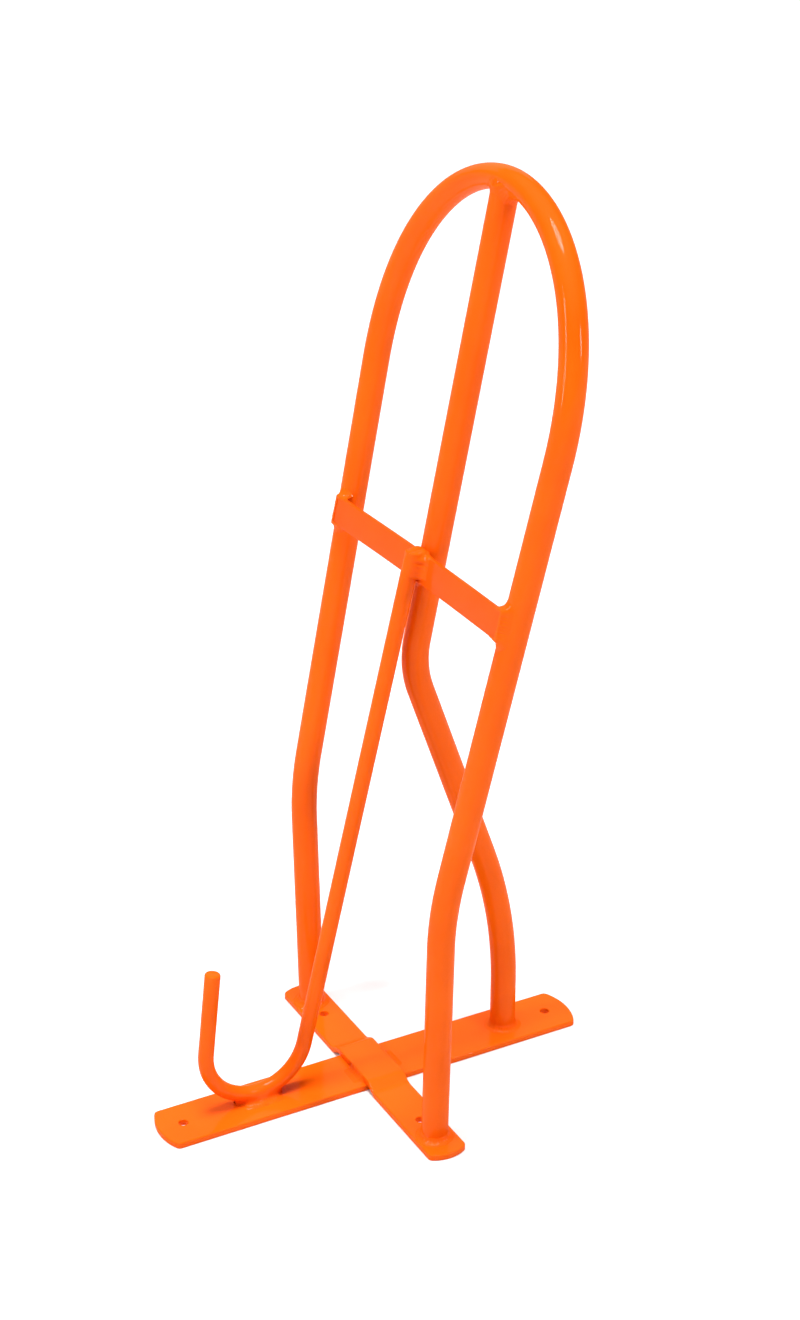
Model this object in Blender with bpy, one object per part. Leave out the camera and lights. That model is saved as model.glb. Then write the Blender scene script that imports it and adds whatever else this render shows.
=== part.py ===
"""Wall-mounted saddle rack with a bridle hook, standing on its wall plates.

Two flat bars cross to make the wall plate. A round tube is bent into a tall loop that carries
the saddle, a second tube props the loop's nose, a flat bar ties the three tubes together, and a
round rod runs down from that bar to make the bridle hook. Everything is welded.

Frame: metres, +Z away from the wall, +X towards the rack's upper end on the wall, and the hook
on the -X side. The origin is the centre of the wall plates' underside, and y = 0 is the middle.
"""
import math

import bmesh
import bpy
from mathutils import Vector

GAP = 0.0003                    # clearance between pieces that touch

# Tubes
TUBE_RADIUS = 0.0084            # outside
TUBE_WALL = 0.0015
TUBE_SIDES = 20

# Wall plates
PLATE_THICKNESS = 0.0042
LONG_PLATE_LENGTH = 0.2985
LONG_PLATE_WIDTH = 0.0385
LONG_PLATE_BOW = 0.005          # how far the rounded ends bulge
SHORT_PLATE_LENGTH = 0.214
SHORT_PLATE_WIDTH = 0.0258
SHORT_PLATE_BOW = 0.004
PLATE_CORNER = 0.0035
JOGGLE_TOP = 0.0196             # half length of the short plate's raised middle
JOGGLE_FOOT = 0.031             # where it is back down on the wall
SCREW_HOLE_RADIUS = 0.003
LONG_HOLE_X = 0.1327
SHORT_HOLE_Y = 0.0677

# Loop
FOOT_Y = 0.0862                 # half spacing of the legs at the plate
BEND_Z = 0.1664                 # height of the legs' bend
BEND_Y = 0.0932
BEND_RADIUS = 0.211
LEAN = math.radians(12.7)       # lean of the loop's upper part towards +X
ARCH_START = 0.2849             # along the slope, from the bend to where the legs curve in
ARCH_START_Y = 0.1071
ARCH_TOP = 0.4203               # along the slope, to the middle of the nose
ARCH_SIDE_HANDLE = 0.0878       # how far each leg keeps its line before it curves in
ARCH_TOP_HANDLE = 0.0535        # half width of the nose's flatter stretch
CROWN_FLATTEN = 0.88            # the nose is pressed a little flat along the slope

# Centre tube
CENTRE_X = 0.0997
CENTRE_BEND_Z = 0.0908
CENTRE_BEND_RADIUS = 0.300
CENTRE_JOIN = 0.1224            # along the slope, where it comes into the loop's plane
CENTRE_JOIN_BACK = 0.0032
CENTRE_JOIN_RADIUS = 0.0637
CENTRE_TOP_FRONT = 0.0015

# Cross bar
BAR_SLOPE = 0.1877              # along the slope, to the bar's middle
BAR_WIDTH = 0.018
BAR_THICKNESS = 0.003
BAR_HALF_LENGTH = 0.1022
BAR_BOW = 0.0021                # the middle is pulled back on to the centre tube

# Hook
ROD_RADIUS = 0.0050
ROD_SIDES = 16
HOOK_X = -0.0805                # centre of the hook's bend
HOOK_RADIUS = 0.0346
HOOK_TIP_LENGTH = 0.0580
HOOK_TIP_LEAN = 0.115           # radians, tip towards +X
HOOK_TOP_Y = -0.004
HOOK_FOOT_Y = 0.0015

# Weld beads
FOOT_BEAD = 0.0034
THIN_BEAD = 0.0026

ORANGE = (0.95, 0.145, 0.010, 1.0)
WELD_ORANGE = (0.90, 0.130, 0.010, 1.0)


def clear_scene():
    for old in list(bpy.data.objects):
        bpy.data.objects.remove(old)


def paint(name, colour, roughness):
    material = bpy.data.materials.new(name)
    material.use_nodes = True
    shader = material.node_tree.nodes["Principled BSDF"]
    shader.inputs["Base Color"].default_value = colour
    shader.inputs["Roughness"].default_value = roughness
    shader.inputs["Metallic"].default_value = 0.0
    return material


def add_object(name, shape, colour=ORANGE, roughness=0.3):
    """Turns a bmesh into an object with its own paint."""
    bmesh.ops.recalc_face_normals(shape, faces=shape.faces)
    mesh = bpy.data.meshes.new(name)
    shape.to_mesh(mesh)
    shape.free()
    mesh.shade_smooth()
    mesh.set_sharp_from_angle(angle=math.radians(40))
    piece = bpy.data.objects.new(name, mesh)
    bpy.context.collection.objects.link(piece)
    mesh.materials.append(paint(name + "_paint", colour, roughness))
    return piece


def add_clearance(name, shape):
    """A slightly larger copy of a piece, which cuts its neighbours back by the gap."""
    piece = add_object(name, shape)
    piece.hide_render = True
    piece.display_type = "WIRE"
    return piece


def subtract(piece, *cutters):
    for cutter in cutters:
        cut = piece.modifiers.new("cut_" + cutter.name, "BOOLEAN")
        cut.operation = "DIFFERENCE"
        cut.object = cutter


def on_slope(along, back=0.0, y=0.0):
    """A point of the loop's leaning plane: along the slope from the bend, and behind it."""
    return Vector((along * math.sin(LEAN) + back * math.cos(LEAN), y,
                   BEND_Z + along * math.cos(LEAN) - back * math.sin(LEAN)))


def round_corner(before, corner, after, radius, count):
    """Points of the arc that rounds a corner between two straight runs."""
    to_before = (before - corner).normalized()
    to_after = (after - corner).normalized()
    half_angle = to_before.angle(to_after) / 2
    middle = (to_before + to_after).normalized()
    centre = corner + middle * radius / math.sin(half_angle)
    reach = radius / math.tan(half_angle)
    start = corner + to_before * reach - centre
    axis = start.cross(corner + to_after * reach - centre).normalized()
    sweep_angle = math.pi - 2 * half_angle
    points = []
    for step in range(count + 1):
        angle = sweep_angle * step / count
        points.append(centre + start * math.cos(angle) + axis.cross(start) * math.sin(angle))
    return points


def bezier_point(p0, p1, p2, p3, t):
    u = 1 - t
    return p0 * u ** 3 + p1 * 3 * u * u * t + p2 * 3 * u * t * t + p3 * t ** 3


def ring_frames(points, closed=False):
    """A tangent and two cross directions at every point, carried along without twist."""
    count = len(points)
    tangents = []
    for i in range(count):
        ahead = points[(i + 1) % count] if closed or i < count - 1 else points[i]
        behind = points[i - 1] if closed or i > 0 else points[i]
        tangents.append((ahead - behind).normalized())
    side = tangents[0].cross(Vector((0, 1, 0)))
    if side.length < 0.1:
        side = tangents[0].cross(Vector((1, 0, 0)))
    side.normalize()
    frames = []
    for tangent in tangents:
        side = (side - tangent * side.dot(tangent)).normalized()
        frames.append((tangent, side, tangent.cross(side)))
    return frames


def add_rings(shape, points, radius, sides, closed=False, flatten=None, level_ends=False):
    """Rings of vertices round a path. level_ends trims the ends to a horizontal plane."""
    rings = []
    for i, (point, (tangent, side, other)) in enumerate(zip(points, ring_frames(points, closed))):
        ring = []
        squeeze = flatten(i) if flatten else 1.0
        for k in range(sides):
            angle = 2 * math.pi * k / sides
            offset = side * math.cos(angle) * squeeze + other * math.sin(angle)
            place = point + offset * radius
            if level_ends and i in (0, len(points) - 1):
                place = place - tangent * ((place.z - point.z) / tangent.z)
            ring.append(shape.verts.new(place))
        rings.append(ring)
    return rings


def join_rings(shape, rings, closed=False):
    sides = len(rings[0])
    pairs = list(zip(rings, rings[1:]))
    if closed:
        pairs.append((rings[-1], rings[0]))
    for first, second in pairs:
        for k in range(sides):
            m = (k + 1) % sides
            shape.faces.new((first[k], first[m], second[m], second[k]))


def solid_sweep(points, radius, sides, closed=False, flatten=None, level_ends=False):
    shape = bmesh.new()
    rings = add_rings(shape, points, radius, sides, closed, flatten, level_ends)
    join_rings(shape, rings, closed)
    if not closed:
        shape.faces.new(rings[0])
        shape.faces.new(rings[-1])
    return shape


def tube_sweep(points, radius, wall, sides, flatten=None):
    """A hollow tube, open at both ends."""
    shape = bmesh.new()
    outer = add_rings(shape, points, radius, sides, False, flatten, True)
    inner = add_rings(shape, points, radius - wall, sides, False, flatten, True)
    join_rings(shape, outer)
    join_rings(shape, inner)
    for rim_out, rim_in in ((outer[0], inner[0]), (outer[-1], inner[-1])):
        for k in range(sides):
            m = (k + 1) % sides
            shape.faces.new((rim_out[k], rim_out[m], rim_in[m], rim_in[k]))
    return shape


def loop_path(foot_z):
    """One leg, the arch over the nose, and the other leg."""
    foot = Vector((0, FOOT_Y, foot_z))
    corner = Vector((0, BEND_Y, BEND_Z))
    start = on_slope(ARCH_START, 0, ARCH_START_Y)
    leg_line = (start - corner).normalized()
    handle = start + leg_line * ARCH_SIDE_HANDLE
    top_handle = on_slope(ARCH_TOP, 0, ARCH_TOP_HANDLE)
    top = on_slope(ARCH_TOP)
    side = [foot] + round_corner(foot, corner, start, BEND_RADIUS, 6)
    arch_steps = 13
    for step in range(arch_steps):
        side.append(bezier_point(start, handle, top_handle, top, step / arch_steps))
    mirrored = [Vector((p.x, -p.y, p.z)) for p in reversed(side)]
    return side + [top] + mirrored


def crown_flattening(points):
    """How far each point of the loop is squeezed: most at the nose, nothing on the legs."""
    widest = max(p.y for p in points)

    def flatten(i):
        if points[i].z < on_slope(ARCH_START).z:
            return 1.0
        nearness = 1 - min(1.0, abs(points[i].y) / widest)
        return 1 - (1 - CROWN_FLATTEN) * math.sin(nearness * math.pi / 2)
    return flatten


def centre_back(along):
    """How far the centre tube's line lies behind the loop's plane."""
    share = (along - CENTRE_JOIN) / (ARCH_TOP - CENTRE_JOIN)
    return CENTRE_JOIN_BACK - (CENTRE_JOIN_BACK + CENTRE_TOP_FRONT) * share


def centre_path(foot_z, end_along):
    foot = Vector((CENTRE_X, 0, foot_z))
    bend = Vector((CENTRE_X, 0, CENTRE_BEND_Z))
    join = on_slope(CENTRE_JOIN, CENTRE_JOIN_BACK)
    end = on_slope(end_along, centre_back(end_along))
    lower = round_corner(foot, bend, join, CENTRE_BEND_RADIUS, 6)
    upper = round_corner(bend, join, end, CENTRE_JOIN_RADIUS, 7)
    return [foot] + lower + upper + [end]


def bar_back(y):
    """Place of the bar's mid thickness behind the loop's plane, which is negative in front."""
    on_legs = -(TUBE_RADIUS + GAP + BAR_THICKNESS / 2)
    return on_legs + BAR_BOW * math.cos(math.pi / 2 * y / BAR_HALF_LENGTH)


def bar_solid(grow=0.0):
    stations = 12
    length = BAR_HALF_LENGTH + grow
    half_width = BAR_WIDTH / 2 + grow
    half_thickness = BAR_THICKNESS / 2 + grow
    shape = bmesh.new()
    rings = []
    for i in range(stations + 1):
        y = length * (2 * i / stations - 1)
        middle = bar_back(max(-BAR_HALF_LENGTH, min(BAR_HALF_LENGTH, y)))
        ring = []
        for across, through in ((-1, -1), (1, -1), (1, 1), (-1, 1)):
            place = on_slope(BAR_SLOPE + across * half_width, middle + through * half_thickness, y)
            ring.append(shape.verts.new(place))
        rings.append(ring)
    join_rings(shape, rings)
    shape.faces.new(rings[0])
    shape.faces.new(rings[-1])
    return shape


def hook_path():
    """Down from the bar, round the bend that rests on the long plate, and up to the tip."""
    top_back = bar_back(0) - BAR_THICKNESS / 2 - GAP - ROD_RADIUS
    top = on_slope(BAR_SLOPE + BAR_WIDTH / 2, top_back)
    centre = Vector((HOOK_X, 0, PLATE_THICKNESS + GAP + ROD_RADIUS + HOOK_RADIUS))
    to_top = top - centre
    tangent_angle = math.atan2(to_top.z, to_top.x) - math.acos(HOOK_RADIUS / to_top.length)
    end_angle = -math.pi - HOOK_TIP_LEAN
    steps = 18
    points = [top]
    for step in range(steps + 1):
        angle = tangent_angle + (end_angle - tangent_angle) * step / steps
        points.append(centre + Vector((math.cos(angle), 0, math.sin(angle))) * HOOK_RADIUS)
    tip_line = Vector((math.sin(HOOK_TIP_LEAN), 0, math.cos(HOOK_TIP_LEAN)))
    points.append(points[-1] + tip_line * HOOK_TIP_LENGTH)
    rise = top.z - centre.z
    for point in points:
        share = max(0.0, (point.z - centre.z) / rise) if point.x > HOOK_X else 0.0
        point.y = HOOK_FOOT_Y + (HOOK_TOP_Y - HOOK_FOOT_Y) * share
    return points


def plate_outline(length, width, bow):
    """A flat bar seen from above, its length along X, with shallow round ends."""
    half_width = width / 2
    end_radius = (half_width ** 2 + bow ** 2) / (2 * bow)
    half_sweep = math.asin(half_width / end_radius)
    arc_steps = 8
    outline = []
    for end in (1, -1):
        centre_x = end * (length / 2 - end_radius)
        for step in range(arc_steps + 1):
            angle = half_sweep * (2 * step / arc_steps - 1)
            outline.append((centre_x + end * end_radius * math.cos(angle),
                            end * end_radius * math.sin(angle)))
    return outline


def plate_solid(length, width, bow, grow=0.0):
    """A plate of one thickness with its corners rounded, its underside at z = 0."""
    shape = bmesh.new()
    outline = plate_outline(length + 2 * grow, width + 2 * grow, bow)
    base = shape.faces.new([shape.verts.new((x, y, -grow)) for x, y in outline])
    raised = bmesh.ops.extrude_face_region(shape, geom=[base])["geom"]
    lift = PLATE_THICKNESS + 2 * grow
    bmesh.ops.translate(shape, verts=[v for v in raised if isinstance(v, bmesh.types.BMVert)],
                        vec=(0, 0, lift))
    corner_x = length / 2 - bow
    upright = [e for e in shape.edges
               if abs(e.verts[0].co.z - e.verts[1].co.z) > lift / 2
               and abs(abs(e.verts[0].co.y) - width / 2 - grow) < GAP / 10
               and abs(e.verts[0].co.x) > corner_x - GAP]
    bmesh.ops.bevel(shape, geom=upright, offset=PLATE_CORNER, segments=3, profile=0.5,
                    affect="EDGES")
    return shape


def joggle_height(y):
    """The short plate's rise where it steps over the long plate."""
    share = (JOGGLE_FOOT - abs(y)) / (JOGGLE_FOOT - JOGGLE_TOP)
    share = max(0.0, min(1.0, share))
    return (PLATE_THICKNESS + GAP) * share * share * (3 - 2 * share)


def joggled_plate(grow=0.0):
    """The short plate along Y, stepped up over the long one."""
    shape = plate_solid(SHORT_PLATE_LENGTH, SHORT_PLATE_WIDTH, SHORT_PLATE_BOW, grow)
    steps = 4
    for side in (-1, 1):
        for i in range(steps + 1):
            place = side * (JOGGLE_TOP + (JOGGLE_FOOT - JOGGLE_TOP) * i / steps)
            everything = shape.verts[:] + shape.edges[:] + shape.faces[:]
            bmesh.ops.bisect_plane(shape, geom=everything, plane_co=(place, 0, 0),
                                   plane_no=(1, 0, 0))
    for vert in shape.verts:
        vert.co = Vector((-vert.co.y, vert.co.x, vert.co.z + joggle_height(vert.co.x)))
    return shape


def hole_cutter(name, x, y):
    shape = bmesh.new()
    bmesh.ops.create_cone(shape, cap_ends=True, segments=20, radius1=SCREW_HOLE_RADIUS,
                          radius2=SCREW_HOLE_RADIUS, depth=4 * PLATE_THICKNESS)
    bmesh.ops.translate(shape, verts=shape.verts, vec=(x, y, PLATE_THICKNESS / 2))
    return add_clearance(name, shape)


def add_bead(name, points, radius, cutters, closed=False, sides=10):
    """A weld bead: a round run along a seam, cut back by the pieces that it joins."""
    bead = add_object(name, solid_sweep(points, radius, sides, closed), WELD_ORANGE, 0.35)
    subtract(bead, *cutters)
    return bead


def ring_points(centre, radius, count=28):
    points = []
    for i in range(count):
        angle = 2 * math.pi * i / count
        points.append(centre + Vector((math.cos(angle), math.sin(angle), 0)) * radius)
    return points


def seam_on_nose(count=28):
    """The line where the centre tube's outside meets the underside of the nose."""
    points = []
    for i in range(count):
        angle = 2 * math.pi * i / count
        back = TUBE_RADIUS * math.sin(angle) * 0.98
        y = TUBE_RADIUS * math.cos(angle)
        drop = math.sqrt(max(0.0, TUBE_RADIUS ** 2 - (back - CENTRE_TOP_FRONT) ** 2))
        points.append(on_slope(ARCH_TOP - CROWN_FLATTEN * drop, back - CENTRE_TOP_FRONT, y))
    return points


def bar_end_seam(side):
    """Round the bar's end on one leg: along the top edge, down the end, and back below."""
    back = bar_back(BAR_HALF_LENGTH) + BAR_THICKNESS / 2
    inner_y = side * (BAR_HALF_LENGTH - 0.9 * TUBE_RADIUS)
    end_y = side * BAR_HALF_LENGTH
    low = BAR_SLOPE - BAR_WIDTH / 2
    high = BAR_SLOPE + BAR_WIDTH / 2
    start = on_slope(high, back, inner_y)
    top_corner = on_slope(high, back, end_y)
    low_corner = on_slope(low, back, end_y)
    finish = on_slope(low, back, inner_y)
    corner_radius = 1.2 * THIN_BEAD
    return ([start] + round_corner(start, top_corner, low_corner, corner_radius, 4)
            + round_corner(top_corner, low_corner, finish, corner_radius, 4) + [finish])


def hook_top_seam():
    """Up one side of the rod, over its end, and down the other, on the bar's front."""
    front = bar_back(0) - BAR_THICKNESS / 2 - 0.3 * ROD_RADIUS
    low = BAR_SLOPE - 0.3 * BAR_WIDTH
    high = BAR_SLOPE + BAR_WIDTH / 2 + 0.2 * THIN_BEAD
    start, top_start, top_finish, finish = (
        on_slope(along, front, HOOK_TOP_Y + side * ROD_RADIUS)
        for along, side in ((low, -1), (high, -1), (high, 1), (low, 1)))
    corner_radius = 1.2 * THIN_BEAD
    return ([start] + round_corner(start, top_start, top_finish, corner_radius, 4)
            + round_corner(top_start, top_finish, finish, corner_radius, 4) + [finish])


def straight_seam(start, end, count=6):
    return [start.lerp(end, i / count) for i in range(count + 1)]


clear_scene()

plate_top = PLATE_THICKNESS
foot_z = plate_top + GAP
inside = 0.5 * PLATE_THICKNESS

# Clearances: each is a neighbour grown by the gap.
loop_wide = loop_path(inside)
loop_clear = add_clearance("loop_clearance", solid_sweep(
    loop_wide, TUBE_RADIUS + GAP, TUBE_SIDES, flatten=crown_flattening(loop_wide)))
centre_clear = add_clearance("centre_clearance", solid_sweep(
    centre_path(inside, ARCH_TOP), TUBE_RADIUS + GAP, TUBE_SIDES))
hook_clear = add_clearance("hook_clearance", solid_sweep(
    hook_path(), ROD_RADIUS + GAP, ROD_SIDES))
bar_clear = add_clearance("bar_clearance", bar_solid(GAP))
long_clear = add_clearance("long_plate_clearance", plate_solid(
    LONG_PLATE_LENGTH, LONG_PLATE_WIDTH, LONG_PLATE_BOW, GAP))
short_clear = add_clearance("short_plate_clearance", joggled_plate(GAP))

# The six steel pieces.
long_plate = add_object("long_wall_plate", plate_solid(
    LONG_PLATE_LENGTH, LONG_PLATE_WIDTH, LONG_PLATE_BOW))
short_plate = add_object("short_wall_plate", joggled_plate())
for side, word in ((1, "high"), (-1, "low")):
    subtract(long_plate, hole_cutter("hole_" + word, side * LONG_HOLE_X, 0))
for side, word in ((1, "left"), (-1, "right")):
    subtract(short_plate, hole_cutter("hole_" + word, 0, side * SHORT_HOLE_Y))

loop_line = loop_path(foot_z)
add_object("loop_tube", tube_sweep(loop_line, TUBE_RADIUS, TUBE_WALL, TUBE_SIDES,
                                   crown_flattening(loop_line)))
# The centre tube stops short of the nose's middle, and the nose's outside cuts its end to fit.
centre_tube = add_object("centre_tube", tube_sweep(
    centre_path(foot_z, ARCH_TOP - 0.6 * TUBE_RADIUS), TUBE_RADIUS, TUBE_WALL, TUBE_SIDES))
subtract(centre_tube, loop_clear)
add_object("cross_bar", bar_solid())
add_object("hook_rod", solid_sweep(hook_path(), ROD_RADIUS, ROD_SIDES))

# Weld beads.
for side, word in ((1, "left"), (-1, "right")):
    add_bead("foot_weld_" + word, ring_points(Vector((0, side * FOOT_Y, plate_top)), TUBE_RADIUS),
             FOOT_BEAD, (short_clear, loop_clear), closed=True)
    add_bead("bar_weld_" + word, bar_end_seam(side), THIN_BEAD, (bar_clear, loop_clear))
    foot_side = HOOK_FOOT_Y + side * 0.75 * ROD_RADIUS
    add_bead("hook_foot_weld_" + word,
             straight_seam(Vector((HOOK_X - 0.012, foot_side, plate_top + THIN_BEAD / 2)),
                           Vector((HOOK_X + 0.012, foot_side, plate_top + THIN_BEAD / 2))),
             THIN_BEAD, (hook_clear, long_clear))
add_bead("foot_weld_centre", ring_points(Vector((CENTRE_X, 0, plate_top)), TUBE_RADIUS),
         FOOT_BEAD, (long_clear, centre_clear), closed=True)
add_bead("nose_weld", seam_on_nose(), THIN_BEAD, (loop_clear, centre_clear), closed=True)

bar_seam_back = bar_back(0) + BAR_THICKNESS / 2
below = BAR_SLOPE - BAR_WIDTH / 2
add_bead("bar_weld_centre",
         straight_seam(on_slope(below, bar_seam_back, -0.6 * TUBE_RADIUS),
                       on_slope(below, bar_seam_back, 0.6 * TUBE_RADIUS)),
         THIN_BEAD, (bar_clear, centre_clear, hook_clear))
add_bead("hook_top_weld", hook_top_seam(), THIN_BEAD, (bar_clear, centre_clear, hook_clear))

edge = SHORT_PLATE_WIDTH / 2
add_bead("plate_weld_front",
         straight_seam(Vector((-edge, -0.016, plate_top)), Vector((-edge, 0.005, plate_top))),
         THIN_BEAD, (short_clear, long_clear))
add_bead("plate_weld_back",
         straight_seam(Vector((edge, -0.012, plate_top)), Vector((edge, 0.012, plate_top))),
         THIN_BEAD, (short_clear, long_clear))
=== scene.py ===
import math

import bmesh
import bpy
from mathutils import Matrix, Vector, noise


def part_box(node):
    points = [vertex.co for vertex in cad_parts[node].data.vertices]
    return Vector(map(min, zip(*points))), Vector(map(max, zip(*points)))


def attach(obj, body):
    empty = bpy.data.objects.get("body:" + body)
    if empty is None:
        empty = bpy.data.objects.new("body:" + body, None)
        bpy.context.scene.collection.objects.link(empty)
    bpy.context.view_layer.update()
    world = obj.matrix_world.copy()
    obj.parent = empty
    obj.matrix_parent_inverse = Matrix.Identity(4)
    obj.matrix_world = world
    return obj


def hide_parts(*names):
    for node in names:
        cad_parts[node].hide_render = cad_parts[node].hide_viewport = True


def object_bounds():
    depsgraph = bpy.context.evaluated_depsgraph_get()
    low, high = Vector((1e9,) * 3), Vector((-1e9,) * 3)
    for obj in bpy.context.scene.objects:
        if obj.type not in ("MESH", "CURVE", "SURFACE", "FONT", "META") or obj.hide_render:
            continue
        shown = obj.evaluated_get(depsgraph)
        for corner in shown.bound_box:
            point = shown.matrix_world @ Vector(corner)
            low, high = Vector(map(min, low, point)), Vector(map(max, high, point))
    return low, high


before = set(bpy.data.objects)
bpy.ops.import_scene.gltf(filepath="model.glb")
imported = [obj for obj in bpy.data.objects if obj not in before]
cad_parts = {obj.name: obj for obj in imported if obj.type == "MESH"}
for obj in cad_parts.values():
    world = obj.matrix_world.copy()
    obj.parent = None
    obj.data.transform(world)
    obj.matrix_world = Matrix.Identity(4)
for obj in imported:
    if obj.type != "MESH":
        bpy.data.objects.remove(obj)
cad_low, cad_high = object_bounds()

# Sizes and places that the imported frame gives.
long_low, long_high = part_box("long_wall_plate")
short_low, short_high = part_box("short_wall_plate")
left_foot_low, left_foot_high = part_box("foot_weld_left")
centre_foot_low, centre_foot_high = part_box("foot_weld_centre")

LONG_PLATE_LENGTH = long_high.x - long_low.x
LONG_PLATE_WIDTH = long_high.y - long_low.y
PLATE_THICKNESS = long_high.z
SHORT_PLATE_LENGTH = short_high.y - short_low.y
SHORT_PLATE_WIDTH = short_high.x - short_low.x
SHORT_PLATE_EDGE = short_high.x
TUBE_RADIUS = -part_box("loop_tube")[0].x
FOOT_Y = (left_foot_low.y + left_foot_high.y) / 2
CENTRE_X = (centre_foot_low.x + centre_foot_high.x) / 2
BAR_HALF_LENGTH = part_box("cross_bar")[1].y

# The rest of the rack's shape, in metres and radians.
TUBE_WALL = 0.0015
BEND_Z = 0.1664
BEND_Y = 0.0932
BEND_RADIUS = 0.211
LEAN = math.radians(12.7)
ARCH_START = 0.2849
ARCH_START_Y = 0.1071
ARCH_TOP = 0.4203
ARCH_SIDE_HANDLE = 0.0878
ARCH_TOP_HANDLE = 0.0535
CROWN_FLATTEN = 0.88
CENTRE_BEND_Z = 0.0908
CENTRE_BEND_RADIUS = 0.300
CENTRE_JOIN = 0.1224
CENTRE_JOIN_BACK = 0.0032
CENTRE_JOIN_RADIUS = 0.0637
CENTRE_TOP_FRONT = 0.0015
CENTRE_END_DROP = 0.0046        # how far the centre tube stops below the nose's middle
BAR_SLOPE = 0.1877
BAR_WIDTH = 0.018
BAR_THICKNESS = 0.003
BAR_BOW = 0.0021
ROD_RADIUS = 0.0050
HOOK_X = -0.0805
HOOK_RADIUS = 0.0346
HOOK_TIP_LENGTH = 0.0580
HOOK_TIP_LEAN = 0.115
HOOK_TOP_Y = -0.004
HOOK_FOOT_Y = 0.0015
# The hook's ground tip: distances from its end, and the share of the rod's radius there.
HOOK_TIP_GRIND = ((0.0012, 1.0), (0.0008, 0.985), (0.0005, 0.955), (0.0002, 0.90), (0.0, 0.82))
LONG_PLATE_BOW = 0.005
SHORT_PLATE_BOW = 0.004
PLATE_CORNER = 0.0035
JOGGLE_TOP = 0.0196
JOGGLE_FOOT = 0.031
SCREW_HOLE_RADIUS = 0.003
LONG_HOLE_X = 0.1327
SHORT_HOLE_Y = 0.0677
CLEARANCE = 0.0003              # between pieces that touch

# Fineness of the visible surface.
TUBE_SIDES = 56
ROD_SIDES = 40
HOLE_SIDES = 40
EDGE_ROUNDING = 0.0007
HOLE_EASING = 0.0005
BEAD_STEP = 0.0003
BEAD_PITCH = 0.0019
LUMPY_HALF_STRETCH = 0.26       # share of a bead to either side of its middle that is lumpy

# Paint: linear colour where the drift is darkest and lightest, and its range of roughness.
DEEP_ORANGE = (0.83, 0.103, 0.0024)
LIGHT_ORANGE = (0.89, 0.119, 0.0038)
ROUGHNESS_RANGE = (0.27, 0.41)
BAR_PAINTED_SHADE = 0.090             # painted shade: the cross bar and the welds are darker in colour for the shade they hold
WELD_PAINTED_SHADE = 0.02

# Seams lie this far inside the joint that they fill.
PLATE_SEAM_DEPTH = 0.0004
EDGE_SEAM_DEPTH = 0.0005
END_SEAM_DEPTH = 0.0006

UP = Vector((0, 0, 1))
SLOPE_UP = Vector((math.sin(LEAN), 0, math.cos(LEAN)))
SLOPE_BACK = Vector((math.cos(LEAN), 0, -math.sin(LEAN)))


# ---------------------------------------------------------------- paint

def painted_steel(name, seed, painted_shade=0.0):
    """Glossy orange powder coat: faint orange peel, soft drift in colour and in gloss. The third
    argument is painted shade: it takes that much off the red, and less off the green."""
    material = bpy.data.materials.new(name)
    material.use_nodes = True
    nodes = material.node_tree.nodes
    links = material.node_tree.links
    shader = nodes["Principled BSDF"]
    shader.inputs["Metallic"].default_value = 0.0
    shader.inputs["IOR"].default_value = 1.5
    shader.inputs["Specular IOR Level"].default_value = 0.0
    shader.inputs["Coat Weight"].default_value = 0.26
    shader.inputs["Coat Roughness"].default_value = 0.08
    shader.inputs["Coat IOR"].default_value = 1.4

    place = nodes.new("ShaderNodeTexCoord")
    shifted = nodes.new("ShaderNodeMapping")
    shifted.inputs["Location"].default_value = (seed * 0.37, seed * 0.11, seed * 0.73)
    links.new(place.outputs["Object"], shifted.inputs["Vector"])

    def texture_noise(scale, detail, roughness=0.5):
        node = nodes.new("ShaderNodeTexNoise")
        node.inputs["Scale"].default_value = scale
        node.inputs["Detail"].default_value = detail
        node.inputs["Roughness"].default_value = roughness
        links.new(shifted.outputs["Vector"], node.inputs["Vector"])
        return node.outputs["Fac"]

    drift = texture_noise(22.0, 3.0)
    speckle = texture_noise(900.0, 2.0)
    peel = texture_noise(520.0, 1.5)
    waves = texture_noise(95.0, 2.0)

    ramp = nodes.new("ShaderNodeValToRGB")
    stops = zip(ramp.color_ramp.elements, (0.3, 0.7), (DEEP_ORANGE, LIGHT_ORANGE))
    # painted shade is taken off both colour stops
    for stop, position, (red, green, blue) in stops:
        stop.position = position
        stop.color = (red - painted_shade, green - painted_shade * 0.3, blue, 1)
    links.new(drift, ramp.inputs["Fac"])
    fleck = nodes.new("ShaderNodeMixRGB")
    fleck.blend_type = "MULTIPLY"
    fleck.inputs["Fac"].default_value = 0.06
    links.new(ramp.outputs["Color"], fleck.inputs["Color1"])
    links.new(speckle, fleck.inputs["Color2"])
    links.new(fleck.outputs["Color"], shader.inputs["Base Color"])

    gloss = nodes.new("ShaderNodeMapRange")
    gloss.inputs["To Min"].default_value, gloss.inputs["To Max"].default_value = ROUGHNESS_RANGE
    links.new(waves, gloss.inputs["Value"])
    links.new(gloss.outputs["Result"], shader.inputs["Roughness"])

    fine = nodes.new("ShaderNodeBump")
    fine.inputs["Strength"].default_value = 0.22
    fine.inputs["Distance"].default_value = 0.00012
    links.new(peel, fine.inputs["Height"])
    broad = nodes.new("ShaderNodeBump")
    broad.inputs["Strength"].default_value = 0.25
    broad.inputs["Distance"].default_value = 0.0005
    links.new(waves, broad.inputs["Height"])
    links.new(fine.outputs["Normal"], broad.inputs["Normal"])
    links.new(broad.outputs["Normal"], shader.inputs["Normal"])
    links.new(broad.outputs["Normal"], shader.inputs["Coat Normal"])
    return material


# ---------------------------------------------------------------- shared mesh work

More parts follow.
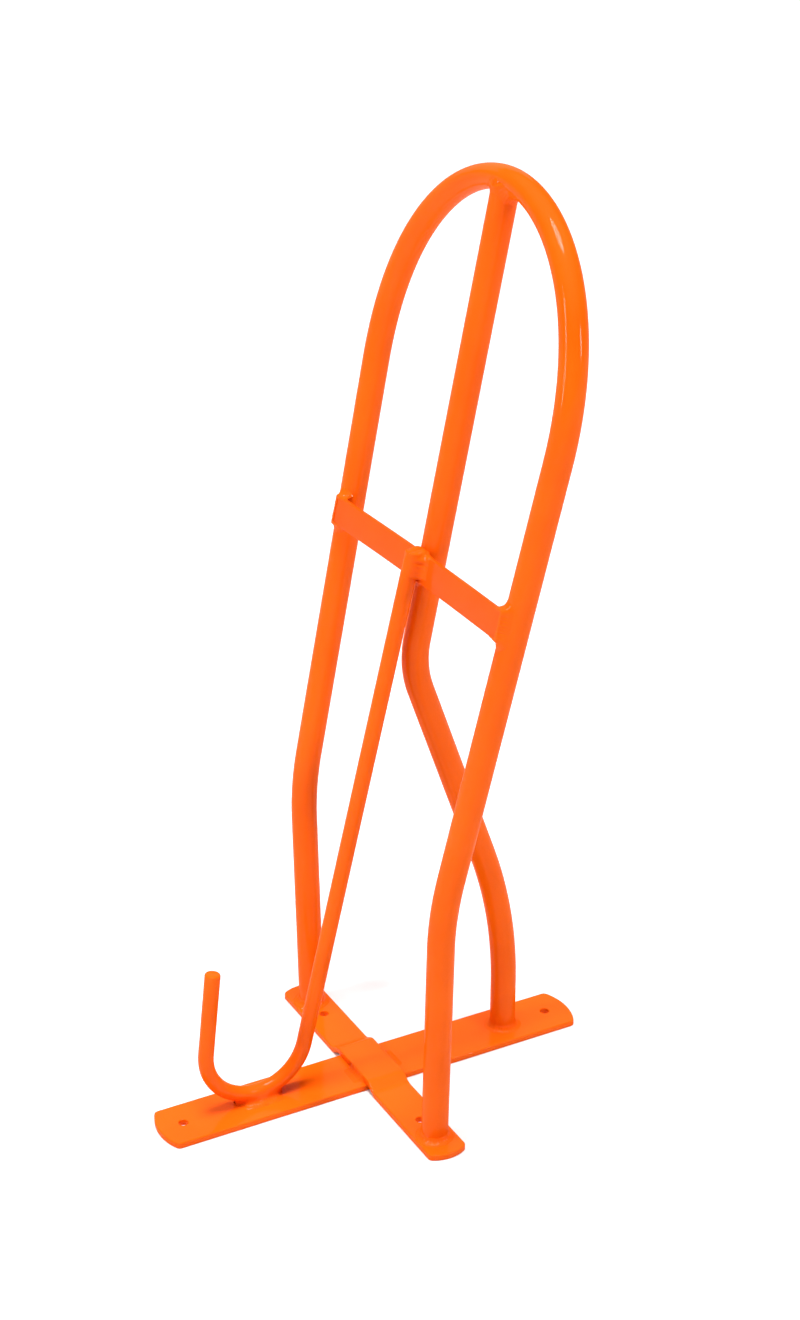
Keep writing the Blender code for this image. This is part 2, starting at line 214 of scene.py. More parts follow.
def add_piece(name, shape, node, seed, painted_shade=0.0, sharp=40):
    """Turns a bmesh into the painted piece that stands for a node."""
    bmesh.ops.recalc_face_normals(shape, faces=shape.faces)
    if shape.calc_volume(signed=True) < 0:
        bmesh.ops.reverse_faces(shape, faces=shape.faces)
    mesh = bpy.data.meshes.new(name)
    shape.to_mesh(mesh)
    shape.free()
    mesh.shade_smooth()
    mesh.set_sharp_from_angle(angle=math.radians(sharp))
    piece = bpy.data.objects.new(name, mesh)
    bpy.context.scene.collection.objects.link(piece)
    # the piece's paint carries its painted shade, if any
    mesh.materials.append(painted_steel(name + "_paint", seed, painted_shade))
    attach(piece, "root")
    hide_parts(node)
    return piece


def on_slope(along, back=0.0, y=0.0):
    """A point of the loop's leaning plane: along the slope from the bend, and behind it."""
    return Vector((0, y, BEND_Z)) + SLOPE_UP * along + SLOPE_BACK * back


def round_corner(before, corner, after, radius, count):
    """Points of the arc that rounds a corner between two straight runs."""
    to_before = (before - corner).normalized()
    to_after = (after - corner).normalized()
    half_angle = to_before.angle(to_after) / 2
    middle = (to_before + to_after).normalized()
    centre = corner + middle * radius / math.sin(half_angle)
    reach = radius / math.tan(half_angle)
    start = corner + to_before * reach - centre
    axis = start.cross(corner + to_after * reach - centre).normalized()
    sweep_angle = math.pi - 2 * half_angle
    points = []
    for step in range(count + 1):
        angle = sweep_angle * step / count
        points.append(centre + start * math.cos(angle) + axis.cross(start) * math.sin(angle))
    return points


def bezier_point(p0, p1, p2, p3, t):
    """A point of a cubic curve."""
    u = 1 - t
    return p0 * u ** 3 + p1 * 3 * u * u * t + p2 * 3 * u * t * t + p3 * t ** 3


def ring_frames(points):
    """A tangent and two cross directions at every point, carried along without twist."""
    last = len(points) - 1
    tangents = [(points[min(i + 1, last)] - points[max(i - 1, 0)]).normalized()
                for i in range(last + 1)]
    side = tangents[0].cross(Vector((0, 1, 0))).normalized()
    frames = []
    for tangent in tangents:
        side = (side - tangent * side.dot(tangent)).normalized()
        frames.append((tangent, side, tangent.cross(side)))
    return frames


def add_rings(shape, points, radius, sides, flatten=None, level_ends=False, size=None):
    """Rings of vertices round a path. level_ends trims the ends to a horizontal plane."""
    rings = []
    for i, (point, (tangent, side, other)) in enumerate(zip(points, ring_frames(points))):
        ring = []
        side_scale, other_scale = flatten(i) if flatten else (1.0, 1.0)
        ring_radius = radius * (size(i) if size else 1.0)
        for k in range(sides):
            angle = 2 * math.pi * k / sides
            place = point + (side * math.cos(angle) * side_scale
                             + other * math.sin(angle) * other_scale) * ring_radius
            if level_ends and i in (0, len(points) - 1):
                place = place - tangent * ((place.z - point.z) / tangent.z)
            ring.append(shape.verts.new(place))
        rings.append(ring)
    return rings


def join_rings(shape, rings):
    """Faces between each ring and the next."""
    sides = len(rings[0])
    for first, second in zip(rings, rings[1:]):
        for k in range(sides):
            m = (k + 1) % sides
            shape.faces.new((first[k], first[m], second[m], second[k]))


def cap_ends(shape, rings):
    """Flat faces over the first ring and the last."""
    shape.faces.new(rings[0])
    shape.faces.new(rings[-1])


def tube_shape(points, flatten=None):
    """A hollow tube, open at both ends where it meets a plate or the nose."""
    shape = bmesh.new()
    outer = add_rings(shape, points, TUBE_RADIUS, TUBE_SIDES, flatten, True)
    inner = add_rings(shape, points, TUBE_RADIUS - TUBE_WALL, TUBE_SIDES, flatten, True)
    join_rings(shape, outer)
    join_rings(shape, inner)
    for rim_out, rim_in in ((outer[0], inner[0]), (outer[-1], inner[-1])):
        for k in range(TUBE_SIDES):
            m = (k + 1) % TUBE_SIDES
            shape.faces.new((rim_out[k], rim_out[m], rim_in[m], rim_in[k]))
    return shape


# ---------------------------------------------------------------- tubes

def loop_path(foot_z):
    """One leg, the arch over the nose, and the other leg."""
    foot = Vector((0, FOOT_Y, foot_z))
    corner = Vector((0, BEND_Y, BEND_Z))
    start = on_slope(ARCH_START, 0, ARCH_START_Y)
    handle = start + (start - corner).normalized() * ARCH_SIDE_HANDLE
    top_handle = on_slope(ARCH_TOP, 0, ARCH_TOP_HANDLE)
    top = on_slope(ARCH_TOP)
    side = [foot] + round_corner(foot, corner, start, BEND_RADIUS, 24)
    arch_steps = 60
    for step in range(arch_steps):
        side.append(bezier_point(start, handle, top_handle, top, step / arch_steps))
    mirrored = [Vector((p.x, -p.y, p.z)) for p in reversed(side)]
    return side + [top] + mirrored


def crown_flattening(points):
    """The nose is pressed a little flat in the plane of its bend."""
    widest = max(p.y for p in points)
    arch_start_z = on_slope(ARCH_START).z

    def flatten(i):
        if points[i].z < arch_start_z:
            return 1.0, 1.0
        nearness = 1 - min(1.0, abs(points[i].y) / widest)
        pressed = (1 - CROWN_FLATTEN) * math.sin(nearness * math.pi / 2)
        return 1.0 + 0.3 * pressed, 1.0 - pressed
    return flatten


def centre_back(along):
    """How far the centre tube's line lies behind the loop's plane."""
    share = (along - CENTRE_JOIN) / (ARCH_TOP - CENTRE_JOIN)
    return CENTRE_JOIN_BACK - (CENTRE_JOIN_BACK + CENTRE_TOP_FRONT) * share


def centre_path(foot_z, end_along):
    """Straight up, back to the loop's plane, and on up to the nose."""
    foot = Vector((CENTRE_X, 0, foot_z))
    bend = Vector((CENTRE_X, 0, CENTRE_BEND_Z))
    join = on_slope(CENTRE_JOIN, CENTRE_JOIN_BACK)
    end = on_slope(end_along, centre_back(end_along))
    lower = round_corner(foot, bend, join, CENTRE_BEND_RADIUS, 26)
    upper = round_corner(bend, join, end, CENTRE_JOIN_RADIUS, 26)
    return [foot] + lower + upper + [end]


# ---------------------------------------------------------------- cross bar and hook

def bar_back(y):
    """Place of the bar's mid thickness behind the loop's plane, which is negative in front."""
    on_legs = -(TUBE_RADIUS + CLEARANCE + BAR_THICKNESS / 2)
    return on_legs + BAR_BOW * math.cos(math.pi / 2 * y / BAR_HALF_LENGTH)


def bar_shape():
    """Flat bar with rolled edges, bowed on to the centre tube."""
    stations = 60
    half_width, half_thickness = BAR_WIDTH / 2, BAR_THICKNESS / 2
    section = []
    for across, through, start in ((1, 1, 0), (-1, 1, 90), (-1, -1, 180), (1, -1, 270)):
        for step in range(5):
            angle = math.radians(start + 90 * step / 4)
            section.append((across * (half_width - EDGE_ROUNDING) + EDGE_ROUNDING * math.cos(angle),
                            through * (half_thickness - EDGE_ROUNDING)
                            + EDGE_ROUNDING * math.sin(angle)))
    shape = bmesh.new()
    rings = []
    for i in range(stations + 1):
        y = BAR_HALF_LENGTH * (2 * i / stations - 1)
        rings.append([shape.verts.new(on_slope(BAR_SLOPE + across, bar_back(y) + through, y))
                      for across, through in section])
    join_rings(shape, rings)
    cap_ends(shape, rings)
    return shape


def hook_path():
    """Down from the bar, round the bend that rests on the long plate, and up to the tip."""
    top_back = bar_back(0) - BAR_THICKNESS / 2 - CLEARANCE - ROD_RADIUS
    top = on_slope(BAR_SLOPE + BAR_WIDTH / 2, top_back)
    centre = Vector((HOOK_X, 0, PLATE_THICKNESS + CLEARANCE + ROD_RADIUS + HOOK_RADIUS))
    to_top = top - centre
    tangent_angle = math.atan2(to_top.z, to_top.x) - math.acos(HOOK_RADIUS / to_top.length)
    end_angle = -math.pi - HOOK_TIP_LEAN
    steps = 60
    points = [top]
    for step in range(steps + 1):
        angle = tangent_angle + (end_angle - tangent_angle) * step / steps
        points.append(centre + Vector((math.cos(angle), 0, math.sin(angle))) * HOOK_RADIUS)
    tip_line = Vector((math.sin(HOOK_TIP_LEAN), 0, math.cos(HOOK_TIP_LEAN)))
    tip = points[-1] + tip_line * HOOK_TIP_LENGTH
    for inset, _ in HOOK_TIP_GRIND:
        points.append(tip - tip_line * inset)
    rise = top.z - centre.z
    for point in points:
        share = max(0.0, (point.z - centre.z) / rise) if point.x > HOOK_X else 0.0
        point.y = HOOK_FOOT_Y + (HOOK_TOP_Y - HOOK_FOOT_Y) * share
    return points


def hook_shape():
    """Solid round rod whose tip has a small ground-off edge."""
    points = hook_path()
    first_ground = len(points) - len(HOOK_TIP_GRIND)

    def size(i):
        return HOOK_TIP_GRIND[i - first_ground][1] if i >= first_ground else 1.0
    shape = bmesh.new()
    rings = add_rings(shape, points, ROD_RADIUS, ROD_SIDES, size=size)
    join_rings(shape, rings)
    cap_ends(shape, rings)
    return shape


# ---------------------------------------------------------------- plates

def plate_outline(length, width, bow):
    """A flat bar seen from above, counter-clockwise: shallow round ends, rounded corners."""
    half_width = width / 2
    end_radius = (half_width ** 2 + bow ** 2) / (2 * bow)
    half_sweep = math.asin(half_width / end_radius)
    arc_steps = 22
    trimmed = 0.7 * PLATE_CORNER
    outline = []
    for end in (1, -1):
        centre = Vector((end * (length / 2 - end_radius), 0, 0))
        arc = []
        for step in range(arc_steps + 1):
            angle = half_sweep * (2 * step / arc_steps - 1)
            arc.append(centre + Vector((math.cos(angle), math.sin(angle), 0)) * end * end_radius)
        kept = [p for p in arc if min((p - arc[0]).length, (p - arc[-1]).length) > trimmed]
        outline += round_corner(Vector((0, arc[0].y, 0)), arc[0], kept[0], PLATE_CORNER, 6)
        outline += kept
        outline += round_corner(kept[-1], arc[-1], Vector((0, arc[-1].y, 0)), PLATE_CORNER, 6)
    return outline


def rolled_edge(below, above):
    """Heights and insets up an edge that is rounded by these amounts below and above."""
    steps = 4
    flat_margin = 0.0002

    def quarter(rounding):
        places = [(0, rounding + flat_margin)]
        for step in range(steps + 1):
            angle = math.pi / 2 * step / steps
            places.append((rounding * (1 - math.cos(angle)), rounding * (1 - math.sin(angle))))
        return places
    return quarter(below) + [(PLATE_THICKNESS - z, inset) for z, inset in reversed(quarter(above))]


def plate_shape(length, width, bow, hole_place):
    """A flat bar with rolled edges and two plain screw holes, its underside at z = 0."""
    outline = plate_outline(length, width, bow)
    outward = []
    for i in range(len(outline)):
        along = outline[(i + 1) % len(outline)] - outline[i - 1]
        outward.append(along.cross(UP).normalized())
    walls = [[[point - away * inset + UP * z for point, away in zip(outline, outward)]
              for z, inset in rolled_edge(EDGE_ROUNDING, EDGE_ROUNDING)]]
    turns = [2 * math.pi * k / HOLE_SIDES for k in range(HOLE_SIDES)]
    spokes = [Vector((math.cos(turn), math.sin(turn), 0)) for turn in turns]
    for x in (-hole_place, hole_place):
        walls.append([[Vector((x, 0, z)) + spoke * (SCREW_HOLE_RADIUS + inset) for spoke in spokes]
                      for z, inset in rolled_edge(HOLE_EASING / 8, HOLE_EASING)])
    shape = bmesh.new()
    under, over = [], []
    for wall in walls:
        rings = [[shape.verts.new(place) for place in ring] for ring in wall]
        join_rings(shape, rings)
        for rim, ring in ((under, rings[0]), (over, rings[-1])):
            rim += [shape.edges.get((a, b)) for a, b in zip(ring, ring[1:] + ring[:1])]
    for rim in (under, over):
        bmesh.ops.triangle_fill(shape, use_beauty=True, use_dissolve=False, edges=rim)
    return shape


def joggle_height(y):
    """The short plate's rise where it steps over the long plate."""
    share = (JOGGLE_FOOT - abs(y)) / (JOGGLE_FOOT - JOGGLE_TOP)
    share = max(0.0, min(1.0, share))
    return (PLATE_THICKNESS + CLEARANCE) * share * share * (3 - 2 * share)


def joggled_plate_shape():
    """The short plate along Y, stepped up over the long one."""
    shape = plate_shape(SHORT_PLATE_LENGTH, SHORT_PLATE_WIDTH, SHORT_PLATE_BOW, SHORT_HOLE_Y)
    steps = 14
    for side in (-1, 1):
        for i in range(steps + 1):
            place = side * (JOGGLE_TOP + (JOGGLE_FOOT - JOGGLE_TOP) * i / steps)
            everything = shape.verts[:] + shape.edges[:] + shape.faces[:]
            bmesh.ops.bisect_plane(shape, geom=everything, plane_co=(place, 0, 0),
                                   plane_no=(1, 0, 0))
    for vert in shape.verts:
        vert.co = Vector((-vert.co.y, vert.co.x, vert.co.z + joggle_height(vert.co.x)))
    return shape


# ---------------------------------------------------------------- weld beads

def round_bar(start, end, radius):
    """Distance to a straight round bar with flat ends."""
    middle = (start + end) / 2
    axis = (end - start).normalized()
    half_length = (end - start).length / 2

    def distance(point):
        offset = point - middle
        along = offset.dot(axis)
        aside = (offset - axis * along).length - radius
        past = abs(along) - half_length
        if aside > 0 and past > 0:
            return math.hypot(aside, past)
        return max(aside, past)
    return distance


def round_path(points, radius):
    """Distance to a bent round bar, as the nearest of its straight runs."""
    lap = radius * 0.3
    runs = [round_bar(a - (b - a).normalized() * lap, b + (b - a).normalized() * lap, radius)
            for a, b in zip(points, points[1:])]

    def distance(point):
        return min(run(point) for run in runs)
    return distance


def slab(top):
    """Distance above a level face."""
    return lambda point: point.z - top


def slope_block(low_along, high_along, back_of, half_thickness, low_y, high_y):
    """Distance to a flat bar that lies in the leaning plane."""
    def distance(point):
        offset = point - Vector((0, 0, BEND_Z))
        along, back = offset.dot(SLOPE_UP), offset.dot(SLOPE_BACK)
        outside = Vector((max(low_along - along, along - high_along),
                          abs(back - back_of(point.y)) - half_thickness,
                          max(low_y - point.y, point.y - high_y)))
        beyond = Vector((max(outside.x, 0), max(outside.y, 0), max(outside.z, 0)))
        return beyond.length + min(0.0, max(outside.x, outside.y, outside.z))
    return distance


def joined(first, second, fill):
    """The smaller of two distances, run together where both are small, as weld metal does."""
    def distance(point):
        one, two = first(point), second(point)
        closeness = max(0.0, fill - abs(one - two)) / fill
        return min(one, two) - closeness * closeness * fill * 0.25
    return distance


def fillet_fan(origin, towards, across, reach, spread, directions, surfaces, fill, wave):
    """One section of a bead: points where rays from inside the joint leave the weld metal."""
    first, second = surfaces
    metal = joined(first, second, fill)
    section = []
    for step in range(directions + 1):
        angle = math.radians(spread * (2 * step / directions - 1))
        ray = towards * math.cos(angle) + across * math.sin(angle)
        near, far = 0.0, reach
        for _ in range(15):
            middle = (near + far) / 2
            if metal(origin + ray * middle) < 0:
                near = middle
            else:
                far = middle
        spot = origin + ray * near
        metal_depth = max(0.0, min(first(spot), second(spot)))
        cover = min(1.0, metal_depth / 0.0002)
        section.append(spot + ray * wave * cover * min(1.0, metal_depth / (0.12 * fill))
                       - towards * 0.00015 * (1 - cover))
    return section


def weld_bead(name, node, seam, length, surfaces, seed, fill=0.0052, reach=0.009, closed=False,
              ripple=0.00012, pitch=BEAD_PITCH, end_taper=0.003, lumps=0.0, spread=84,
              directions=20):
    """Weld metal along a seam. seam(t), t from 0 to 1, gives a point just inside the joint, the
    direction that the bead faces, and the direction across it. lumps heaps up the ripples halfway
    along, and spread is the half angle in degrees that the bead covers as seen from the seam."""
    count = max(12, int(length / BEAD_STEP))
    ripples = max(1, round(length / pitch))
    shape = bmesh.new()
    rings = []
    for i in range(count if closed else count + 1):
        t = i / count
        origin, towards, across = seam(t)
        end_gap = length if closed else min(t, 1 - t) * length
        taper = 1.0
        if end_gap <= end_taper:
            taper = max(0.02, math.sin(end_gap / end_taper * math.pi / 2))
        turn = 2 * math.pi * t
        if closed:
            drift_place = Vector((math.cos(turn), math.sin(turn), seed)) * (length / 0.03)
        else:
            drift_place = Vector((t * length / 0.005, 0.5, seed))
        drift = noise.noise(drift_place)
        phase = math.cos(2 * math.pi * ripples * t)
        heaped = lumps * max(0.0, 1 - ((t - 0.5) / LUMPY_HALF_STRETCH) ** 2)
        wave = (ripple + heaped) * (phase - 0.3 * phase * phase + 0.7 * drift)
        section = fillet_fan(origin, towards, across, reach, spread, directions, surfaces,
                             fill * taper * (1 + 0.12 * drift), wave * taper)
        rings.append([shape.verts.new(place) for place in section] + [shape.verts.new(origin)])
    if closed:
        rings.append(rings[0])
    join_rings(shape, rings)
    if not closed:
        cap_ends(shape, rings)
    # weld metal gets a little painted shade in its colour
    return add_piece(name, shape, node, seed, painted_shade=WELD_PAINTED_SHADE, sharp=75)


def foot_seam(centre):
    """Round a tube's foot on its plate."""
    def seam(t):
        outward = Vector((math.cos(2 * math.pi * t), math.sin(2 * math.pi * t), 0))
        origin = centre + outward * (TUBE_RADIUS - END_SEAM_DEPTH) - UP * END_SEAM_DEPTH
        return origin, (outward + UP).normalized(), (outward - UP).normalized()
    return seam


def path_seam(points, facing_at):
    """A seam along a path. facing_at(point) gives the direction that the bead faces there."""
    lengths = [0.0]
    for a, b in zip(points, points[1:]):
        lengths.append(lengths[-1] + (b - a).length)
    total = lengths[-1]

    def place(run):
        run = max(0.0, min(total, run))
        i = 0
        while i < len(points) - 2 and lengths[i + 1] < run:
            i += 1
        share = (run - lengths[i]) / (lengths[i + 1] - lengths[i])
        return points[i].lerp(points[i + 1], share)

    def seam(t):
        run = t * total
        along = (place(run + 0.0012) - place(run - 0.0012)).normalized()
        towards = facing_at(place(run))
        towards = (towards - along * towards.dot(along)).normalized()
        return place(run), towards, along.cross(towards)
    return seam, total


def nose_seam(t):
    """Where the centre tube's outside meets the nose, whose axis runs along Y."""
    def seam_point(angle):
        back = TUBE_RADIUS * math.sin(angle) * 0.97
        y = TUBE_RADIUS * math.cos(angle)
        drop = math.sqrt(max(0.0, TUBE_RADIUS ** 2 - (back - CENTRE_TOP_FRONT) ** 2))
        return on_slope(ARCH_TOP - CROWN_FLATTEN * drop, back - CENTRE_TOP_FRONT, y)
    angle = 2 * math.pi * t
    along = (seam_point(angle + 0.05) - seam_point(angle - 0.05)).normalized()
    outward = SLOPE_BACK * math.sin(angle) + Vector((0, math.cos(angle), 0))
    towards = outward - SLOPE_UP * 0.6 * abs(math.cos(angle))
    towards = (towards - along * towards.dot(along)).normalized()
    return seam_point(angle) - towards * 0.0010, towards, along.cross(towards)


def bar_end_points(side):
    """Round the bar's end on one leg: along the top edge, down the end, and back below."""
    back = bar_back(BAR_HALF_LENGTH) + BAR_THICKNESS / 2
    inner_y = side * (BAR_HALF_LENGTH - 1.15 * TUBE_RADIUS)
    end_y = side * (BAR_HALF_LENGTH - END_SEAM_DEPTH)
    low = BAR_SLOPE - BAR_WIDTH / 2 + END_SEAM_DEPTH
    high = BAR_SLOPE + BAR_WIDTH / 2 - END_SEAM_DEPTH
    start, finish = on_slope(high, back, inner_y), on_slope(low, back, inner_y)
    top_corner, low_corner = on_slope(high, back, end_y), on_slope(low, back, end_y)
    rounding = 0.0022
    return ([start] + round_corner(start, top_corner, low_corner, rounding, 8)
            + round_corner(top_corner, low_corner, finish, rounding, 8) + [finish])


def hook_top_points():
    """Up one side of the rod, over its end, and down the other, on the bar's front."""
    front = bar_back(0) - BAR_THICKNESS / 2
    half = ROD_RADIUS * 0.62
    low = BAR_SLOPE - 0.40 * BAR_WIDTH
    high = BAR_SLOPE + BAR_WIDTH / 2 - 0.0012
    corners = [on_slope(along, front + 0.0002, HOOK_TOP_Y + side * half)
               for along, side in ((low, -1), (high, -1), (high, 1), (low, 1))]
    return ([corners[0]] + round_corner(*corners[:3], half * 0.8, 6)
            + round_corner(*corners[1:], half * 0.8, 6) + [corners[3]])


# ---------------------------------------------------------------- build the pieces

foot_z = PLATE_THICKNESS + CLEARANCE
loop_line = loop_path(foot_z)
centre_line = centre_path(foot_z, ARCH_TOP - CENTRE_END_DROP)
add_piece("loop_tube_painted", tube_shape(loop_line, crown_flattening(loop_line)),
          "loop_tube", 1)
add_piece("centre_tube_painted", tube_shape(centre_line), "centre_tube", 2)
# the cross bar gets painted shade in its colour
add_piece("cross_bar_painted", bar_shape(), "cross_bar", 3, painted_shade=BAR_PAINTED_SHADE)
add_piece("hook_rod_painted", hook_shape(), "hook_rod", 4)
add_piece("long_wall_plate_painted",
          plate_shape(LONG_PLATE_LENGTH, LONG_PLATE_WIDTH, LONG_PLATE_BOW, LONG_HOLE_X),
          "long_wall_plate", 5)
add_piece("short_wall_plate_painted", joggled_plate_shape(), "short_wall_plate",
          6)

# The shapes that the weld metal joins.
plate_face = slab(PLATE_THICKNESS)
bar_body = slope_block(BAR_SLOPE - BAR_WIDTH / 2, BAR_SLOPE + BAR_WIDTH / 2, bar_back,
                       BAR_THICKNESS / 2, -BAR_HALF_LENGTH, BAR_HALF_LENGTH)
top_of_centre = round_bar(centre_line[-2], centre_line[-1], TUBE_RADIUS)
hook_line = hook_path()
rod_foot_z = PLATE_THICKNESS + CLEARANCE + ROD_RADIUS
hook_arc = round_path([p for p in hook_line if p.z < rod_foot_z + 0.012], ROD_RADIUS)
rod_top = round_bar(hook_line[0], hook_line[1], ROD_RADIUS)
rod_end = on_slope(BAR_SLOPE + BAR_WIDTH / 2)
ring_length = 2 * math.pi * (TUBE_RADIUS + 0.0015)


def foot_bead(word, foot, seed, reach):
    """The weld round a tube's foot."""
    stub = round_bar(foot - UP * 0.02, foot + UP * 0.04, TUBE_RADIUS)
    weld_bead("foot_bead_" + word, "foot_weld_" + word, foot_seam(foot), ring_length,
              (plate_face, stub), seed, closed=True, reach=reach, spread=60)


def bar_bead(word, side):
    """The weld round the bar's end on one leg."""
    leg = round_bar(Vector((0, side * BEND_Y, BEND_Z)),
                    on_slope(ARCH_START, 0, side * ARCH_START_Y), TUBE_RADIUS)
    middle = on_slope(BAR_SLOPE, 0, side * (BAR_HALF_LENGTH - 0.6 * TUBE_RADIUS))

    def off_leg(point):
        level = point - middle
        level = level - SLOPE_BACK * level.dot(SLOPE_BACK)
        return level.normalized() - SLOPE_BACK * 0.35
    seam, length = path_seam(bar_end_points(side), off_leg)
    weld_bead("bar_bead_" + word, "bar_weld_" + word, seam, length, (bar_body, leg),
              seed=20 + side, fill=0.0068, ripple=0.00010)


def hook_foot_bead(word, side):
    """The weld along one side of the hook's bend where it rests on the long plate."""
    y, z = HOOK_FOOT_Y + side * 0.0016, PLATE_THICKNESS - PLATE_SEAM_DEPTH
    seam, length = path_seam([Vector((HOOK_X - 0.016, y, z)), Vector((HOOK_X + 0.020, y, z))],
                             lambda point: Vector((0, side, 0)) + UP * 0.8)
    weld_bead("hook_foot_bead_" + word, "hook_foot_weld_" + word, seam, length,
              (plate_face, hook_arc), seed=30 + side, fill=0.0080, end_taper=0.010,
              ripple=0.00006, spread=60)


def short_body(point):
    """Distance to the short plate, near its step."""
    rise = joggle_height(point.y)
    return max(abs(point.x) - SHORT_PLATE_EDGE, point.z - PLATE_THICKNESS - rise)


def plate_bead(word, side, start_y, end_y):
    """The weld along one edge of the short plate where it crosses the long one."""
    x, z = side * (SHORT_PLATE_EDGE - EDGE_SEAM_DEPTH), PLATE_THICKNESS - PLATE_SEAM_DEPTH
    seam, length = path_seam([Vector((x, start_y, z)), Vector((x, end_y, z))],
                             lambda point: Vector((side, 0, 0)) + UP)
    weld_bead("plate_bead_" + word, "plate_weld_" + word, seam, length,
              (plate_face, short_body), seed=50 + side, fill=0.0060, end_taper=0.005, spread=60)


def cut_rod(point):
    """Distance to the hook rod's top, cut off level with the bar's upper edge."""
    return max(rod_top(point), (point - rod_end).dot(SLOPE_UP))


def off_rod(point):
    """The way the hook's top weld faces: sideways along the rod, and upwards over its end."""
    sideways = point.y - HOOK_TOP_Y
    above = max(0.0, (point - rod_end).dot(SLOPE_UP) + 0.004)
    return Vector((0, sideways, 0)) * 1.2 + SLOPE_UP * above * 1.2 - SLOPE_BACK * 0.0022


for side, word in ((1, "left"), (-1, "right")):
    foot_bead(word, Vector((0, side * FOOT_Y, PLATE_THICKNESS)), seed=10 + side, reach=0.0045)
    bar_bead(word, side)
    hook_foot_bead(word, side)
foot_bead("centre", Vector((CENTRE_X, 0, PLATE_THICKNESS)), seed=14, reach=0.0060)

nose_points = [p for p in loop_line if p.z > on_slope(ARCH_TOP - 0.02).z]
weld_bead("nose_bead", "nose_weld", nose_seam, ring_length * 1.2,
          (round_path(nose_points, TUBE_RADIUS * 0.97), top_of_centre), seed=40, closed=True,
          fill=0.0060)

bar_low_edge = BAR_SLOPE - BAR_WIDTH / 2 + EDGE_SEAM_DEPTH
bar_rear = bar_back(0) + BAR_THICKNESS / 2
seam, length = path_seam(
    [on_slope(bar_low_edge, bar_rear, -0.0062), on_slope(bar_low_edge, bar_rear, 0.0062)],
    lambda point: -SLOPE_UP - SLOPE_BACK * 0.4)
weld_bead("bar_bead_centre", "bar_weld_centre", seam, length, (bar_body, top_of_centre), seed=41)

seam, length = path_seam(hook_top_points(), off_rod)
weld_bead("hook_top_bead", "hook_top_weld", seam, length, (bar_body, cut_rod), seed=42,
          fill=0.0100, ripple=0.00008, pitch=0.0030, lumps=0.00070, directions=28)

plate_bead("front", -1, start_y=-0.0165, end_y=0.005)
plate_bead("back", 1, start_y=-0.012, end_y=0.012)


# ---------------------------------------------------------------- studio

# Sine of the height above the horizon, and the strength of the world's light there.
WORLD_LEVELS = ((0.01, 0.75), (0.07, 0.75), (0.17, 0.09), (0.60, 0.09), (0.92, 0.86))
CAMERA_PLACE = (-0.5966, -1.1498, 0.9041)
CAMERA_TURN = 0.4935            # radians, from +Y towards +X
CAMERA_DROP = 0.4391            # radians below level
CAMERA_LENS = 65.0

def floor_material():
    """Plain matt white."""
    material = bpy.data.materials.new("studio_white")
    material.use_nodes = True
    shader = material.node_tree.nodes["Principled BSDF"]
    shader.inputs["Base Color"].default_value = (0.76, 0.76, 0.76, 1)
    shader.inputs["Roughness"].default_value = 0.9
    shader.inputs["Specular IOR Level"].default_value = 0.2
    return material


def add_floor():
    """A level floor that reaches far past the view."""
    shape = bmesh.new()
    bmesh.ops.create_grid(shape, x_segments=1, y_segments=1, size=12)
    mesh = bpy.data.meshes.new("studio_floor")
    shape.to_mesh(mesh)
    shape.free()
    floor = bpy.data.objects.new("studio_floor", mesh)
    bpy.context.scene.collection.objects.link(floor)
    mesh.materials.append(floor_material())


def sky_direction(azimuth, elevation):
    """The direction to a light, in degrees. Azimuth runs from +Y towards +X."""
    turn, lift = math.radians(azimuth), math.radians(elevation)
    return Vector((math.sin(turn) * math.cos(lift), math.cos(turn) * math.cos(lift),
                   math.sin(lift)))


def add_softbox(name, azimuth, elevation, distance, width, height, radiance):
    """A soft rectangular light aimed at the rack's middle."""
    target = (cad_low + cad_high) / 2
    toward = sky_direction(azimuth, elevation)
    light = bpy.data.lights.new(name, "AREA")
    light.shape = "RECTANGLE"
    light.size = width
    light.size_y = height
    light.energy = radiance * math.pi * width * height
    lamp = bpy.data.objects.new(name, light)
    lamp.location = target + toward * distance
    lamp.rotation_euler = toward.to_track_quat("Z", "Y").to_euler()
    bpy.context.scene.collection.objects.link(lamp)


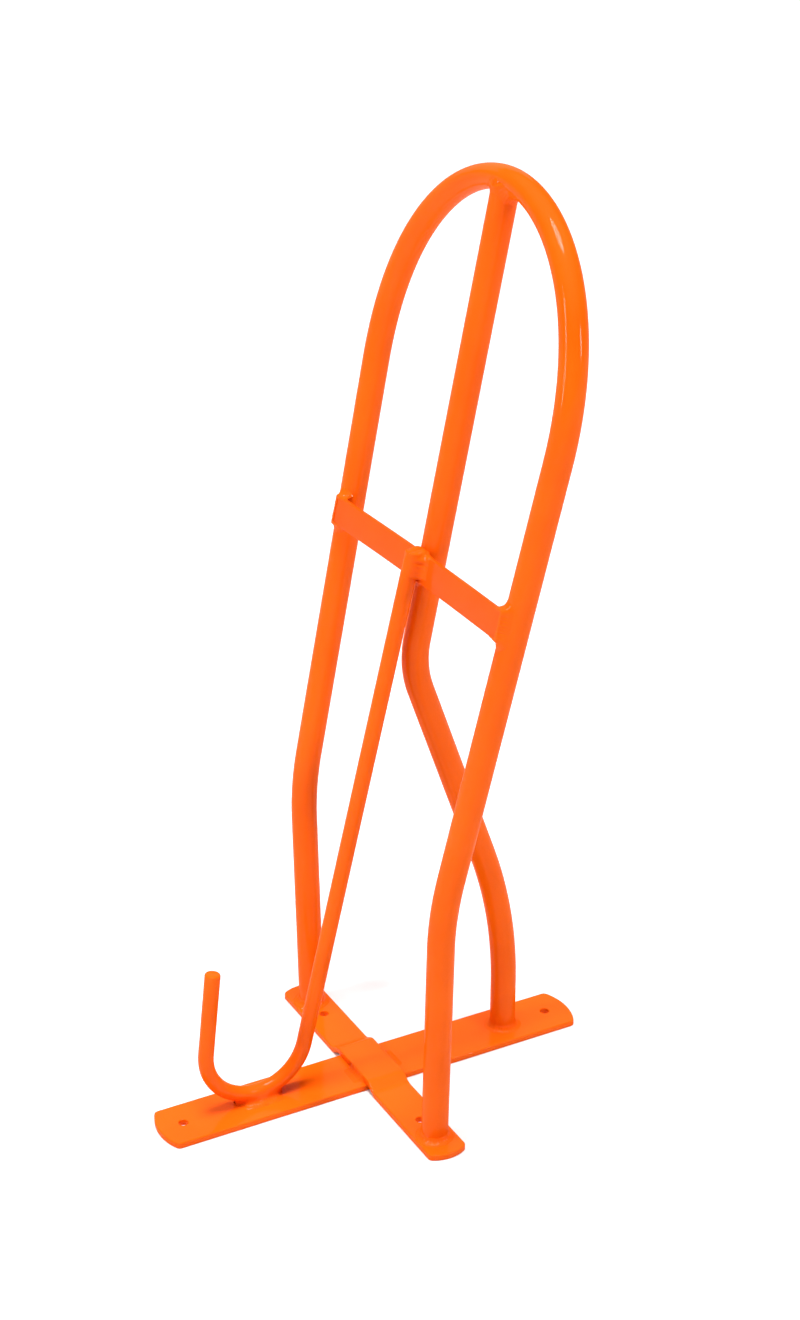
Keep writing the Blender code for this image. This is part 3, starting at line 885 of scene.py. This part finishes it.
def add_overhead(name, azimuth, elevation, spread, strength):
    """Wide soft light of even strength over the whole floor."""
    light = bpy.data.lights.new(name, "SUN")
    light.angle = math.radians(spread)
    light.energy = strength
    lamp = bpy.data.objects.new(name, light)
    toward = sky_direction(azimuth, elevation)
    lamp.rotation_euler = toward.to_track_quat("Z", "Y").to_euler()
    bpy.context.scene.collection.objects.link(lamp)


def add_world():
    """White studio light: pale at the horizon, dim at the height of the lamps, bright overhead."""
    world = bpy.data.worlds.new("studio")
    bpy.context.scene.world = world
    world.use_nodes = True
    nodes = world.node_tree.nodes
    links = world.node_tree.links
    background = nodes["Background"]
    background.inputs["Color"].default_value = (1, 1, 1, 1)
    direction = nodes.new("ShaderNodeTexCoord")
    parts = nodes.new("ShaderNodeSeparateXYZ")
    links.new(direction.outputs["Generated"], parts.inputs["Vector"])
    level = nodes.new("ShaderNodeValToRGB")
    stops = level.color_ramp.elements
    for place, strength in WORLD_LEVELS:
        stop = stops.new(place)
        stop.color = (strength, strength, strength, 1)
    stops.remove(stops[0])
    stops.remove(stops[-1])
    links.new(parts.outputs["Z"], level.inputs["Fac"])
    links.new(level.outputs["Color"], background.inputs["Strength"])


def add_camera():
    """Above the hook's end and to the right of it, looking down at the rack."""
    camera = bpy.data.cameras.new("camera")
    camera.lens = CAMERA_LENS
    camera.sensor_width = 36.0
    camera.clip_end = 50
    holder = bpy.data.objects.new("camera", camera)
    holder.location = CAMERA_PLACE
    holder.rotation_euler = (math.pi / 2 - CAMERA_DROP, 0, -CAMERA_TURN)
    bpy.context.scene.collection.objects.link(holder)
    bpy.context.scene.camera = holder


add_floor()
add_world()
add_overhead("overhead", azimuth=205, elevation=87, spread=22, strength=3.50)
add_softbox("left_strip", azimuth=-88, elevation=27, distance=1.7, width=0.22, height=0.80,
            radiance=27.0)
add_softbox("right_strip", azimuth=148, elevation=27, distance=1.9, width=0.22, height=0.42,
            radiance=36.0)
add_softbox("backdrop", azimuth=14, elevation=27, distance=2.2, width=2.2, height=0.9,
            radiance=0.9)
add_camera()
bpy.context.scene.view_settings.view_transform = "Standard"
